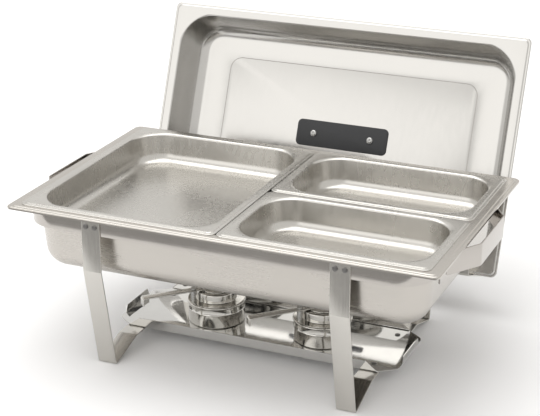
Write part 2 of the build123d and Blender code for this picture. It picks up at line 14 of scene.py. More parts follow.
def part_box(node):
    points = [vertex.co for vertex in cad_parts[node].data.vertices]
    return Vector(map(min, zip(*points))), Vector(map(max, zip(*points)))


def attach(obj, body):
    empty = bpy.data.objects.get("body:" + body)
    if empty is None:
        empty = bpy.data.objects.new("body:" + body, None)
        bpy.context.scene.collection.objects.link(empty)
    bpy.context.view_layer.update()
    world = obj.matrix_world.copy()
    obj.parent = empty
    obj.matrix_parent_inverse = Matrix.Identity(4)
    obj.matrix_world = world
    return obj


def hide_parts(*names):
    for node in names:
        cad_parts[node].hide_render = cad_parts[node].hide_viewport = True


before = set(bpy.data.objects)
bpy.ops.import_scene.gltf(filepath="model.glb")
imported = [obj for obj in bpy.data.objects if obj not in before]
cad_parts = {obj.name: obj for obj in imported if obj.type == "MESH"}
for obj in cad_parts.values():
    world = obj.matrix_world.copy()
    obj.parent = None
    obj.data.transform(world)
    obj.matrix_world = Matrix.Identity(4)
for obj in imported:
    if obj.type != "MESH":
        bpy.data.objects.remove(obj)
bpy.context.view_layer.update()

MM = 0.001

# ---- Sheet and strip -----------------------------------------------------------------------------
SHEET = 0.8 * MM
STRIP = 2.0 * MM
STRIP_EDGE = 0.5 * MM  # rounding of a strip's long edges
RING_THICK = 1.5 * MM
RING_CORNER = 44 * MM
BAND_EDGE = 0.4 * MM  # rounding of the ring's long edges
REST_CLEARANCE = 0.3 * MM  # between the lid and its rests
REST_RISE = 60 * MM  # how far the rest's rear prong runs up behind the lid
LEG_BEND_Z = 136 * MM  # the leg leaves the upright here
FOOT_Y = 139 * MM  # middle of the foot's flat
FOOT_FLAT = 4.5 * MM
ARM_Y = 86 * MM  # the inner arm levels out here
ARM_Z = 16 * MM
LEG_BEND_R = 8 * MM
FOOT_R = 2.4 * MM
REST_BEND_R = 5 * MM
HANDLE_BEND_R = 6 * MM
HANDLE_ROOT_HALF = 92 * MM  # the handle leaves the ring here
HANDLE_GRIP_HALF = 48 * MM
HANDLE_RIVET_Y = 105 * MM
RIVET_PITCH = 6 * MM  # from the middle of a strip to each of its two rivets
ARC_STEPS = 8  # segments in a bend
CORNER_STEPS = 14  # segments round the corner of a pan
ROUND_STEPS = 72  # segments round a turned piece

TRAY_THICK = 1 * MM
TRAY_END_Y = 46 * MM  # half the tray's width at its ends
TRAY_FOOT_INSET = 21 * MM  # from the tray's end in to the foot of the long rails
TRAY_TOP_INSET = 38 * MM  # and in to the end of their top edge
TRAY_ROUNDS = (4 * MM, 12 * MM, 12 * MM, 4 * MM)
TRAY_RIVET_Y = 44.8 * MM
RAIL_ROOT = 2.5 * MM  # where a rail's bend starts, in from its outer face
RAIL_BEND_R = 1.5 * MM
END_LIP_HALF = (33 * MM, 28.5 * MM)  # at the foot and at the top
END_LIP_HEIGHT = 10 * MM

# ---- Food pans -----------------------------------------------------------------------------------
FOOD_RIM = 12.5 * MM
FOOD_STEP_AT = 3.6 * MM  # the raised flat starts this far in from the edge
FOOD_STEP = 0.9 * MM
FOOD_SLOPE = radians(6)
HALF_CORNER = 46 * MM
QUARTER_CORNER = 42 * MM
FOOD_BEND = 3.0 * MM  # from the rim down into the wall
FOOD_BOTTOM_ROUND = 14 * MM
FOOD_EDGE = 1.0 * MM  # rounding of the rim's edge
FOOD_LIP = 1.3 * MM
FOOD_RIM_CORNER = 9 * MM

# ---- Water pan -----------------------------------------------------------------------------------
WATER_SLOPE = radians(5)
WATER_CORNER = 42 * MM
WATER_BOTTOM_ROUND = 24 * MM
WATER_CLEARANCE = 4.8 * MM
WATER_EDGE = 1.8 * MM
WATER_STEP_AT = 4.5 * MM
WATER_STEP = 0.6 * MM
WATER_BEND = 3.0 * MM
WATER_LIP = 3.4 * MM
WATER_RIM_CORNER = 8 * MM
HALF_PAN_GAP = 0.5 * MM  # from the middle of the set to the half pan

# ---- Lid -----------------------------------------------------------------------------------------
LID_LEAN = radians(22)
LID_HALF = (265 * MM, 162.5 * MM)
LID_GAP = 16 * MM  # from the water pan's rim back to the lid's lower edge
LID_FOOT_Z = 54 * MM
LID_RIM = 15 * MM
LID_EDGE = 1.2 * MM
LID_STEP_AT = 3.0 * MM
LID_STEP = 1.2 * MM
LID_BEND = 2.5 * MM
LID_LIP = 1.3 * MM
LID_RIM_CORNER = 8 * MM
LID_DEPTH = 55 * MM
LID_SLOPE = radians(14)
LID_CORNER = 47 * MM
LID_BOTTOM_ROUND = 18 * MM
PANEL_HALF = (188 * MM, 96 * MM)  # pressed panel in the lid's floor
PANEL_CORNER = 17 * MM
PANEL_RAISE = 0.7 * MM
PLATE_HALF = (69 * MM, 19 * MM)
PLATE_THICK = 3 * MM
PLATE_CORNER = 7 * MM
PLATE_EDGE = 0.9 * MM
SCREW_SPACING = 86 * MM
SCREW_HEAD = (4.6 * MM, 2.6 * MM)  # radius and height

# ---- Burners ------------------------------------------------------------------------------------
CUP_BEAD = 1.6 * MM
CUP_WALL = 0.8 * MM
CAN_WALL = 0.6 * MM
FLANGE_WIDTH = 11 * MM  # from the cup's wall in to the collar's neck
FLAME_INSET = 21 * MM  # and in to the flame opening
LEVER_ANGLE = radians(225)
LEVER_WIDTH = 12 * MM
LEVER_THICK = 1.5 * MM
LEVER_TAIL = 12 * MM  # past the burner's axis
LEVER_REACH = 101.2 * MM
LEVER_END = 9 * MM  # how far its end turns down
LEVER_BEND_R = 2.2 * MM

WATER_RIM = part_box("water_pan")
HALF_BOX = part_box("half_food_pan")
STAND_X = (WATER_RIM[0][0] + WATER_RIM[1][0]) / 2
STAND_Y = (WATER_RIM[0][1] + WATER_RIM[1][1]) / 2
RIM_TOP = HALF_BOX[1][2]


# ---- Making meshes -------------------------------------------------------------------------------
def grid_piece(name, grid, around=True, ends="fan"):
    """Mesh from a grid of points, rows by columns.

    Neighbouring rows and columns span quads, the columns close on themselves when around is set,
    and each end row is closed with one face when ends is "fan".
    """
    rows, cols = grid.shape[:2]
    index = np.arange(rows * cols).reshape(rows, cols)
    right = np.roll(index, -1, axis=1) if around else index[:, 1:]
    left = index if around else index[:, :-1]
    quads = np.stack([left[:-1], right[:-1], right[1:], left[1:]], axis=-1).reshape(-1, 4)
    faces = quads.tolist()
    if ends == "fan":
        faces += [index[0, ::-1].tolist(), index[-1].tolist()]
    if ends == "loop":
        last = np.stack([left[-1], right[-1], right[0], left[0]], axis=-1).reshape(-1, 4)
        faces += last.tolist()
    mesh = bpy.data.meshes.new(name)
    mesh.from_pydata(grid.reshape(-1, 3).tolist(), [], faces)
    piece = bpy.data.objects.new(name, mesh)
    bpy.context.scene.collection.objects.link(piece)
    return piece


def finish_mesh(piece, sharp=35):
    """Merge doubles, point the faces outwards and shade smooth up to the sharp angle."""
    work = bmesh.new()
    work.from_mesh(piece.data)
    bmesh.ops.remove_doubles(work, verts=work.verts, dist=1e-6)
    bmesh.ops.recalc_face_normals(work, faces=work.faces)
    for edge in work.edges:
        edge.smooth = not (edge.is_manifold and edge.calc_face_angle(0) > radians(sharp))
    for face in work.faces:
        face.smooth = True
    work.to_mesh(piece.data)
    work.free()
    return piece


def joined(name, pieces):
    """Join several meshes into one piece called name."""
    work = bmesh.new()
    for piece in pieces:
        work.from_mesh(piece.data)
        bpy.data.objects.remove(piece)
    mesh = bpy.data.meshes.new(name)
    work.to_mesh(mesh)
    work.free()
    whole = bpy.data.objects.new(name, mesh)
    bpy.context.scene.collection.objects.link(whole)
    return whole


def place(piece, matrix):
    """Put a piece where matrix says, in its mesh, and leave its object at the origin."""
    piece.data.transform(matrix)
    return piece


def fit(piece, body, nodes, material):
    """Give a piece its body, the CAD nodes that it stands for and its material."""
    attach(piece, body)
    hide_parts(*nodes)
    piece.data.materials.clear()
    piece.data.materials.append(material)
    return piece


# ---- Lines and sections --------------------------------------------------------------------------
def bent_line(points, radii, steps=ARC_STEPS):
    """Polyline with each inner corner replaced by an arc of its own radius.

    The arc touches both runs at radius times the tangent of half the turn from the corner.
    """
    points = [np.array(p, float) for p in points]
    line = [points[0]]
    for before, corner, after, radius in zip(points, points[1:], points[2:], radii):
        into = (corner - before) / np.linalg.norm(corner - before)
        out = (after - corner) / np.linalg.norm(after - corner)
        cross = into[0] * out[1] - into[1] * out[0]
        turn = atan2(cross, float(into @ out))
        reach = radius * tan(abs(turn) / 2)
        side = np.array([-into[1], into[0]]) * np.sign(turn)
        centre = corner - into * reach + side * radius
        angles = np.linspace(0, turn, steps + 1)
        spoke = -side * radius
        turned = np.stack(
            [
                spoke[0] * np.cos(angles) - spoke[1] * np.sin(angles),
                spoke[0] * np.sin(angles) + spoke[1] * np.cos(angles),
            ],
            axis=1,
        )
        line += list(centre + turned)
    line.append(points[-1])
    return np.array(line)


def line_normals(line):
    """Unit normals of a line in its plane, to the left of the way it runs."""
    way = np.gradient(line, axis=0)
    way /= np.linalg.norm(way, axis=1)[:, None]
    return np.stack([-way[:, 1], way[:, 0]], axis=1)


def rounded_loop(half_x, half_y, radius, straight=6):
    """Rounded rectangles, one for each entry of the three arrays, all with the same point count.

    Each corner is a quarter circle about (half - radius), and the straights are cut evenly.
    """
    half_x, half_y, radius = (np.asarray(v, float)[:, None] for v in (half_x, half_y, radius))
    parts = []
    for quarter in range(4):
        angle = np.linspace(0, pi / 2, CORNER_STEPS + 1) + quarter * pi / 2
        sx = 1 if quarter in (0, 3) else -1
        sy = 1 if quarter in (0, 1) else -1
        x = sx * (half_x - radius) + radius * np.cos(angle)
        y = sy * (half_y - radius) + radius * np.sin(angle)
        parts.append(np.stack([x, y], axis=-1))
    ring = []
    for quarter in range(4):
        ring.append(parts[quarter])
        start = parts[quarter][:, -1:]
        stop = parts[(quarter + 1) % 4][:, :1]
        share = np.linspace(0, 1, straight + 2)[1:-1][None, :, None]
        ring.append(start + (stop - start) * share)
    return np.concatenate(ring, axis=1)


def strip_section(width, thick, edge=STRIP_EDGE, steps=3):
    """Closed outline of a strip: a rectangle with rounded edges, as (across, along width)."""
    corner = []
    for quarter in range(4):
        angle = np.linspace(0, pi / 2, steps + 1) + quarter * pi / 2
        sx = 1 if quarter in (0, 3) else -1
        sy = 1 if quarter in (0, 1) else -1
        across = sx * (thick / 2 - edge) + edge * np.cos(angle)
        along = sy * (width / 2 - edge) + edge * np.sin(angle)
        corner.append(np.stack([across, along], axis=1))
    return np.concatenate(corner)


def bent_strip(name, points, radii, width, thick, plane):
    """Flat strip swept along a bent line in a plane.

    A point is line + across * normal in the plane, and along the plane's own normal by its width.
    """
    line = bent_line(points, radii)
    normal = line_normals(line)
    section = strip_section(width, thick)
    flat = line[:, None, :] + section[None, :, :1] * normal[:, None, :]
    out = np.broadcast_to(section[None, :, 1:], flat.shape[:2] + (1,))
    grid = np.concatenate([flat, out], axis=2)
    return place(finish_mesh(grid_piece(name, grid)), plane)


def turned(name, profile, centre, steps=ROUND_STEPS, closed=True):
    """Turned piece: a profile of (radius, height) swung about an upright axis through centre."""
    profile = np.asarray(profile, float)
    angle = np.linspace(0, 2 * pi, steps, endpoint=False)
    grid = np.stack(
        [
            centre[0] + profile[:, :1] * np.cos(angle),
            centre[1] + profile[:, :1] * np.sin(angle),
            np.broadcast_to(centre[2] + profile[:, 1:], (len(profile), steps)),
        ],
        axis=2,
    )
    return finish_mesh(grid_piece(name, grid, ends="loop" if closed else "none"))


def drawn_pan(name, half, stations, thick, floor=(), broader_ends=(0, 1)):
    """Pan of sheet: one skin of rounded rectangles and a second skin a sheet's thickness below it.

    A station is (inset from the rim's edge, height above the rim, corner radius), from the lip to
    the floor, and floor adds (half length, half width, corner radius, height) inside the last one.
    The second skin lies along the profile's normal.  The two meet at the lip, and each is closed by
    one face in the middle of the floor.  broader_ends is how much broader the rim is at the two ends,
    and the inset over which that is added.
    """
    stations = np.asarray(stations, float)
    normal = line_normals(stations[:, :2])
    under = stations.copy()
    under[:, :2] -= normal * thick
    under[:, 2] += normal[:, 0] * thick
    skins = []
    for skin, drop in ((stations, 0), (under, thick)):
        extra = broader_ends[0] * np.clip(skin[:, 0] / broader_ends[1], 0, 1)
        ends = half[0] - skin[:, 0] - extra
        sizes = np.stack([ends, half[1] - skin[:, 0], skin[:, 2], skin[:, 1]], axis=1)
        pressed = np.array(floor, float).reshape(-1, 4) - (0, 0, 0, drop)
        skins.append(np.concatenate([sizes, pressed]))
    both = np.concatenate([skins[0][::-1], skins[1]])
    loops = rounded_loop(both[:, 0], both[:, 1], np.clip(both[:, 2], 1.2 * MM, None))
    height = np.broadcast_to(both[:, 3][:, None, None], loops.shape[:2] + (1,))
    return finish_mesh(grid_piece(name, np.concatenate([loops, height], axis=2)), sharp=50)


def with_corners(line, rim_corner, opening, corner, blend=5 * MM):
    """Add the corner radius to a pan's profile.

    It follows the rim's own corner near the edge, grows to the opening's corner across the flat,
    and from there shrinks with the inset, so that the walls keep one centre.
    """
    inset = line[:, 0]
    near = rim_corner - inset * 0.4
    share = np.clip((inset - blend) / (opening - blend), 0, 1)
    across = near * (1 - share) + corner * share
    radius = np.where(inset > opening, corner - (inset - opening), across)
    return np.column_stack([line, radius])


# ---- Pans ----------------------------------------------------------------------------------------
def pan_profile(edge, rim, step_at, step, depth, slope, bend, bottom_round, lip, rim_corner, corner):
    """Profile of a drawn pan from the foot of its lip to its floor, with corner radii.

    The lip stands at the edge, the rim steps up by step at step_at, and the wall leans in by slope.
    """
    run = (depth - bottom_round) * tan(slope)
    foot = rim + depth * tan(slope)
    points = [
        (0, -lip - step),
        (0, -step),
        (step_at, -step),
        (step_at + step, 0),
        (rim, 0),
        (foot, -depth),
        (foot + bottom_round + run, -depth),
    ]
    radii = [edge, edge * 0.6, edge * 0.6, bend, bottom_round]
    line = bent_line(points, radii, steps=ARC_STEPS)
    return with_corners(line, rim_corner, rim, corner)


def food_pan(name, node, body, corner):
    """One food pan, sized by its CAD box."""
    low, high = (np.array(v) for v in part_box(node))
    half = (high - low)[:2] / 2
    profile = pan_profile(
        FOOD_EDGE, FOOD_RIM, FOOD_STEP_AT, FOOD_STEP, high[2] - low[2] - SHEET, FOOD_SLOPE,
        FOOD_BEND, FOOD_BOTTOM_ROUND, FOOD_LIP, FOOD_RIM_CORNER, corner,
    )
    pan = drawn_pan(name, half, profile, SHEET)
    centre = (low + high) / 2
    place(pan, Matrix.Translation((centre[0], centre[1], high[2])))
    return fit(pan, body, [node], pan_steel)


def water_pan():
    """The deep pan under the food pans, with a broad rolled rim."""
    low, high = (np.array(v) for v in WATER_RIM)
    half = (high - low)[:2] / 2
    border = half[1] - (HALF_BOX[1][1] - HALF_BOX[0][1]) / 2
    end_border = half[0] - (HALF_BOX[1][0] - HALF_BOX[0][0]) - HALF_PAN_GAP
    opening = border + FOOD_RIM - WATER_CLEARANCE
    profile = pan_profile(
        WATER_EDGE, opening, WATER_STEP_AT, WATER_STEP, high[2] - low[2] - SHEET, WATER_SLOPE,
        WATER_BEND, WATER_BOTTOM_ROUND, WATER_LIP, WATER_RIM_CORNER, WATER_CORNER,
    )
    broader = (end_border - border, opening)
    pan = drawn_pan("water_pan_drawn", half, profile, SHEET, broader_ends=broader)
    centre = (low + high) / 2
    place(pan, Matrix.Translation((centre[0], centre[1], high[2])))
    return fit(pan, "water_pan", ["water_pan"], outer_steel)


# ---- Materials -----------------------------------------------------------------------------------
GRAIN_DEPTH = 0.02 * MM
PEBBLE_DEPTH = 0.06 * MM


def new_material(name):
    """Node material with its principled shader and object coordinates."""
    material = bpy.data.materials.new(name)
    material.use_nodes = True
    nodes = material.node_tree.nodes
    shader = nodes["Principled BSDF"]
    coordinates = nodes.new("ShaderNodeTexCoord")
    return material, nodes, material.node_tree.links, shader, coordinates.outputs["Object"]


def noise(nodes, links, source, stretch, detail=4.0, rough=0.6):
    """Noise stretched by a mapping: the larger a scale, the finer the pattern along that axis."""
    mapping = nodes.new("ShaderNodeMapping")
    mapping.inputs["Scale"].default_value = stretch
    links.new(source, mapping.inputs["Vector"])
    pattern = nodes.new("ShaderNodeTexNoise")
    pattern.inputs["Scale"].default_value = 1.0
    pattern.inputs["Detail"].default_value = detail
    pattern.inputs["Roughness"].default_value = rough
    links.new(mapping.outputs["Vector"], pattern.inputs["Vector"])
    return pattern.outputs["Fac"]


def ranged(nodes, links, source, low, high):
    """Map a noise value, which lies mostly between 0.3 and 0.7, to low and high."""
    remap = nodes.new("ShaderNodeMapRange")
    remap.inputs["From Min"].default_value = 0.3
    remap.inputs["From Max"].default_value = 0.7
    remap.inputs["To Min"].default_value = low
    remap.inputs["To Max"].default_value = high
    links.new(source, remap.inputs["Value"])
    return remap.outputs["Result"]


def tinted(nodes, links, source, dark, light):
    """Blend two colours by a value."""
    mix = nodes.new("ShaderNodeMix")
    mix.data_type = "RGBA"
    mix.inputs[6].default_value = (*dark, 1)
    mix.inputs[7].default_value = (*light, 1)
    links.new(source, mix.inputs[0])
    return mix.outputs[2]


def steel(name, dark, light, grain, rough, strength, wear=(9, 9, 9)):
    """Stainless steel with a grain.

    grain is the stretched noise of the finish.  It moves the roughness between the two values of
    rough, and makes the bump if strength is not 0.  A broad second noise, wear, shifts the colour
    between dark and light and adds a little roughness, as handling does.
    """
    material, nodes, links, shader, here = new_material(name)
    fine = noise(nodes, links, here, grain, detail=3 if strength else 0)
    broad = noise(nodes, links, here, wear, detail=5 if strength else 1)
    grained = ranged(nodes, links, fine, rough[0], rough[1])
    handled = ranged(nodes, links, broad, -0.03, 0.04)
    total = nodes.new("ShaderNodeMath")
    links.new(grained, total.inputs[0])
    links.new(handled, total.inputs[1])
    links.new(total.outputs[0], shader.inputs["Roughness"])
    mixed = nodes.new("ShaderNodeMath")
    mixed.operation = "MULTIPLY_ADD"
    mixed.inputs[1].default_value = 0.5
    links.new(fine, mixed.inputs[0])
    links.new(ranged(nodes, links, broad, 0.0, 0.5), mixed.inputs[2])
    links.new(tinted(nodes, links, mixed.outputs[0], dark, light), shader.inputs["Base Color"])
    shader.inputs["Metallic"].default_value = 1.0
    if strength:
        bump = nodes.new("ShaderNodeBump")
        bump.inputs["Strength"].default_value = strength
        bump.inputs["Distance"].default_value = GRAIN_DEPTH
        links.new(fine, bump.inputs["Height"])
        links.new(bump.outputs["Normal"], shader.inputs["Normal"])
    return material


def plastic(name, dark, light, grain):
    """Moulded plastic with a fine pebbled grain and slight bloom."""
    material, nodes, links, shader, here = new_material(name)
    fine = noise(nodes, links, here, (grain, grain, grain), detail=2)
    broad = noise(nodes, links, here, (30, 30, 30), detail=4)
    links.new(tinted(nodes, links, ranged(nodes, links, broad, 0, 1), dark, light),
              shader.inputs["Base Color"])
    links.new(ranged(nodes, links, broad, 0.42, 0.55), shader.inputs["Roughness"])
    bump = nodes.new("ShaderNodeBump")
    bump.inputs["Strength"].default_value = 0.35
    bump.inputs["Distance"].default_value = PEBBLE_DEPTH
    links.new(fine, bump.inputs["Height"])
    links.new(bump.outputs["Normal"], shader.inputs["Normal"])
    return material


pan_steel = steel("satin_pan_steel", (0.55, 0.535, 0.505), (0.59, 0.575, 0.545),
                  (160, 160, 60), (0.25, 0.28), 0)
outer_steel = steel("satin_outer_steel", (0.52, 0.495, 0.46), (0.56, 0.535, 0.50),
                    (40, 40, 500), (0.23, 0.27), 0)
lid_steel = steel("satin_lid_steel", (0.55, 0.54, 0.52), (0.59, 0.58, 0.56),
                  (200, 60, 60), (0.18, 0.22), 0)
leg_steel = steel("brushed_strip_steel", (0.52, 0.505, 0.475), (0.63, 0.615, 0.58),
                  (1900, 25, 25), (0.14, 0.24), 0.3)
band_steel = steel("brushed_band_steel", (0.45, 0.425, 0.40), (0.55, 0.525, 0.495),
                   (25, 25, 1900), (0.12, 0.20), 0.2)
mirror_steel = steel("polished_steel", (0.60, 0.595, 0.58), (0.68, 0.675, 0.66),
                     (300, 300, 300), (0.045, 0.075), 0.02, wear=(25, 25, 25))
burner_steel = steel("bright_burner_steel", (0.56, 0.545, 0.51), (0.66, 0.65, 0.62),
                     (80, 80, 1500), (0.08, 0.14), 0.08, wear=(25, 25, 25))
rivet_steel = steel("dull_rivet_steel", (0.16, 0.155, 0.15), (0.24, 0.235, 0.23),
                    (1500, 1500, 300), (0.3, 0.4), 0.2)
screw_steel = steel("turned_screw_steel", (0.45, 0.45, 0.44), (0.58, 0.58, 0.57),
                    (1500, 1500, 300), (0.2, 0.32), 0.2)
brass = steel("turned_brass", (0.62, 0.44, 0.18), (0.75, 0.56, 0.26),
              (1500, 300, 1500), (0.2, 0.3), 0.3)
black_plastic = plastic("black_plastic", (0.026, 0.027, 0.029), (0.034, 0.035, 0.038), 2600)


# ---- Stand ---------------------------------------------------------------------------------------
def across(x):
    """Matrix of an upright plane across the stand: its first axis to the back, its second up."""
    return Matrix(((0, 0, 1, x), (1, 0, 0, STAND_Y), (0, 1, 0, 0), (0, 0, 0, 1)))


def flat(z):
    """Matrix of a level plane about the middle of the stand, at height z."""
    return Matrix.Translation((STAND_X, STAND_Y, z))


def support_ring():
    """Ring of strip under the water pan's rim: a strip section carried round a rounded rectangle."""
    low, high = (np.array(v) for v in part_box("support_ring"))
    half = (high - low) / 2
    section = strip_section(high[2] - low[2], RING_THICK, BAND_EDGE)
    inset = RING_THICK / 2 - section[:, 0]
    loops = rounded_loop(half[0] - inset, half[1] - inset, RING_CORNER - inset)
    height = np.broadcast_to(section[:, 1][:, None, None], loops.shape[:2] + (1,))
    grid = np.concatenate([loops, height], axis=2)
    ring = finish_mesh(grid_piece("support_ring_band", grid, ends="loop"))
    place(ring, flat((low[2] + high[2]) / 2))
    return fit(ring, "stand", ["support_ring"], band_steel)


def leg_strip(side):
    """One leg strip: front leg, V foot, inner arm, the seat under the tray, and the same behind."""
    node = "leg_strip_" + side
    low, high = (np.array(v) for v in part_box(node))
    leg_y = (high[1] - low[1]) / 2 - STRIP / 2
    ground = STRIP / 2
    front = [
        (-leg_y, high[2]),
        (-leg_y, LEG_BEND_Z),
        (-FOOT_Y - FOOT_FLAT / 2, ground),
        (-FOOT_Y + FOOT_FLAT / 2, ground),
        (-ARM_Y, ARM_Z),
    ]
    path = front + [(-y, z) for y, z in reversed(front)]
    half_radii = [LEG_BEND_R, FOOT_R, FOOT_R, LEG_BEND_R]
    radii = half_radii + half_radii[::-1]
    x = (low[0] + high[0]) / 2
    strip = bent_strip(node + "_bent", path, radii, high[0] - low[0], STRIP, across(x))
    return fit(strip, "stand", [node], leg_steel)


def carry_handle(side, sign):
    """Carrying handle bent from strip: tab, slant, grip, slant, tab."""
    node = "carry_handle_" + side
    low, high = (np.array(v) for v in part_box(node))
    root = min(abs(low[0] - STAND_X), abs(high[0] - STAND_X)) + STRIP / 2
    grip = max(abs(low[0] - STAND_X), abs(high[0] - STAND_X)) - STRIP / 2
    end = (high[1] - low[1]) / 2
    half = [
        (sign * root, end),
        (sign * root, HANDLE_ROOT_HALF),
        (sign * grip, HANDLE_GRIP_HALF),
    ]
    path = half + [(x, -y) for x, y in reversed(half)]
    middle = (low[2] + high[2]) / 2
    radii = [HANDLE_BEND_R] * 4
    strip = bent_strip(node + "_bent", path, radii, high[2] - low[2], STRIP, flat(middle))
    return fit(strip, "stand", [node], band_steel)


def lid_rest(side):
    """Bent rest behind the ring: down, back under the lid's lower edge, and up behind it."""
    node = "lid_rest_" + side
    low, high = (np.array(v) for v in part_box(node))
    start = (low[1] + STRIP / 2 - STAND_Y, high[2])
    foot = -REST_CLEARANCE - STRIP / 2
    behind = LID_DEPTH + REST_CLEARANCE + STRIP / 2
    drop = (start[0] - LID_FOOT[0] - foot * sin(LID_LEAN)) / cos(LID_LEAN)
    path = [start] + [beside_lid(*p) for p in ((drop, foot), (behind, foot), (behind, REST_RISE))]
    x = (low[0] + high[0]) / 2
    radii = [REST_BEND_R] * 2
    strip = bent_strip(node + "_bent", path, radii, high[0] - low[0], STRIP, across(x))
    return fit(strip, "stand", [node], leg_steel)


def plate(name, outline, thick, edge):
    """Flat plate: a closed outline carried up by thick, its two edges rounded by edge."""
    way = np.roll(outline, -1, axis=0) - np.roll(outline, 1, axis=0)
    way /= np.linalg.norm(way, axis=1)[:, None]
    inward = np.stack([-way[:, 1], way[:, 0]], axis=1)
    angle = np.linspace(0, pi / 2, 4)
    foot = [(edge * (1 - np.sin(a)), edge * (1 - np.cos(a))) for a in angle]
    rows = foot + [(inset, thick - height) for inset, height in reversed(foot)]
    grid = np.stack(
        [np.column_stack([outline + inward * i, np.full(len(outline), z)]) for i, z in rows]
    )
    return finish_mesh(grid_piece(name, grid))


def upturned_edge(name, at, foot_half, top_half, height, thick, matrix):
    """Edge of the tray bent up: an L section whose ends draw in from foot_half to top_half."""
    bend = (at - thick / 2, thick / 2)
    line = bent_line([(at - RAIL_ROOT, thick / 2), bend, (bend[0], height)], [RAIL_BEND_R])
    normal = line_normals(line)
    section = np.concatenate([line + normal * thick / 2, (line - normal * thick / 2)[::-1]])
    share = np.clip(section[:, 1] / height, 0, 1)
    reach = foot_half + (top_half - foot_half) * share
    steps = np.linspace(-1, 1, 9)
    grid = np.stack([np.column_stack([reach * u, section]) for u in steps])
    return place(finish_mesh(grid_piece(name, grid)), matrix)


def fuel_tray():
    """Polished tray with a long rail on each side and a small lip at each end."""
    low, high = (np.array(v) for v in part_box("fuel_tray"))
    end_x, side_y = (high[0] - low[0]) / 2, (high[1] - low[1]) / 2
    foot_x, top_x = end_x - TRAY_FOOT_INSET, end_x - TRAY_TOP_INSET
    inner = side_y - RAIL_ROOT
    corner = [(foot_x, -inner), (end_x, -TRAY_END_Y), (end_x, TRAY_END_Y), (foot_x, inner)]
    points = [(0, -inner)] + corner + [(-x, -y) for x, y in corner] + [(0, -inner)]
    outline = bent_line(points, TRAY_ROUNDS * 2)[:-1]
    pieces = [plate("tray_plate", outline, TRAY_THICK, 0.3 * MM)]
    rail = (side_y, foot_x, top_x, high[2] - low[2])
    end_lip = (end_x, *END_LIP_HALF, END_LIP_HEIGHT)
    for quarter, edge in enumerate((rail, end_lip, rail, end_lip)):
        turn = Matrix.Rotation(quarter * pi / 2, 4, "Z")
        pieces.append(upturned_edge("tray_edge", *edge, TRAY_THICK, turn))
    tray = place(joined("fuel_tray_bent", pieces), flat(low[2]))
    return fit(tray, "stand", ["fuel_tray"], mirror_steel)


# ---- Rivets and screws ---------------------------------------------------------------------------
def facing(where, out):
    """Matrix that stands a piece made about +Z on a face at where that looks along out."""
    turn = Vector(out).to_track_quat("Z", "Y").to_matrix().to_4x4()
    return Matrix.Translation(where) @ turn


def rivet(where, out, tail):
    """Blind rivet: a low domed head with a dimple, its shank, and the closed head on the far side."""
    reach = np.linspace(0, 1, 8)
    dome = np.column_stack([reach * 3.4 * MM, (1.2 - 0.55 * reach**2) * MM])
    dome[:3, 1] -= 0.45 * MM * (1 - reach[:3] * 3)
    rest = [(3.4, 0.4), (3.3, 0), (2, 0), (2, -tail / MM), (2.8, -tail / MM), (2.6, -tail / MM - 0.9),
            (1.2, -tail / MM - 1.2), (0, -tail / MM - 1.2)]
    profile = np.concatenate([dome, np.array(rest) * MM])
    piece = turned("rivet", profile, (0, 0, 0), steps=28, closed=False)
    return place(piece, facing(where, out))


def rivets():
    """Every rivet of the stand, one piece for each CAD group."""
    low, high = (np.array(v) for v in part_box("support_ring"))
    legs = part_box("leg_strip_right")
    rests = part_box("lid_rest_right")
    leg_x = (legs[0][0] + legs[1][0]) / 2 - STAND_X
    rest_x = (rests[0][0] + rests[1][0]) / 2 - STAND_X
    ring_x, ring_y = (high - low)[:2] / 2
    height = (low[2] + high[2]) / 2
    grip = STRIP + RING_THICK
    tray_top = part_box("fuel_tray")[0][2] + TRAY_THICK
    spots = {"leg_rivets": [], "handle_rivets": [], "rest_rivets": [], "tray_rivets": []}
    for sx in (-1, 1):
        for step in (-RIVET_PITCH, RIVET_PITCH):
            rest_at = (STAND_X + sx * rest_x + step, STAND_Y + ring_y + STRIP, height)
            spots["rest_rivets"].append((rest_at, (0, 1, 0), grip))
        for sy in (-1, 1):
            for step in (-RIVET_PITCH, RIVET_PITCH):
                leg_at = (STAND_X + sx * leg_x + step, STAND_Y + sy * (ring_y + STRIP), height)
                spots["leg_rivets"].append((leg_at, (0, sy, 0), grip))
            tab_at = (STAND_X + sx * (ring_x + STRIP), STAND_Y + sy * HANDLE_RIVET_Y, height)
            spots["handle_rivets"].append((tab_at, (sx, 0, 0), grip))
            seat_at = (STAND_X + sx * leg_x, STAND_Y + sy * TRAY_RIVET_Y, tray_top)
            spots["tray_rivets"].append((seat_at, (0, 0, 1), STRIP + TRAY_THICK))
    for node, places in spots.items():
        group = joined(node + "_domed", [rivet(*spot) for spot in places])
        fit(group, "stand", [node], rivet_steel)


def screw_head(name, radius, height, matrix):
    """Pan head with a cross recess.

    The dome's height falls with the fourth power of the radius, and the recess is cut where either
    of two bars through the middle crosses it, deepest at the centre.
    """
    reach = np.linspace(0, 1, 20)[:, None]
    angle = np.linspace(0, 2 * pi, 96, endpoint=False)[None, :]
    x, y = reach * np.cos(angle), reach * np.sin(angle)
    bar = np.maximum(
        (np.abs(x) < 0.13) & (np.abs(y) < 0.55), (np.abs(y) < 0.13) & (np.abs(x) < 0.55)
    )
    top = 1 - 0.45 * reach**4 - bar * 0.5 * (1 - reach)
    skirt = np.array([(1.0, 0.3), (1.0, 0.0)])
    grid = np.stack([x * radius, y * radius, top * height], axis=2)
    lower = np.stack(
        [
            skirt[:, :1] * np.cos(angle) * radius,
            skirt[:, :1] * np.sin(angle) * radius,
            np.broadcast_to(skirt[:, 1:] * height, (2, angle.shape[1])),
        ],
        axis=2,
    )
    cap = np.concatenate([grid, lower])
    head = grid_piece(name, cap, ends="fan")
    return place(finish_mesh(head, sharp=30), matrix)


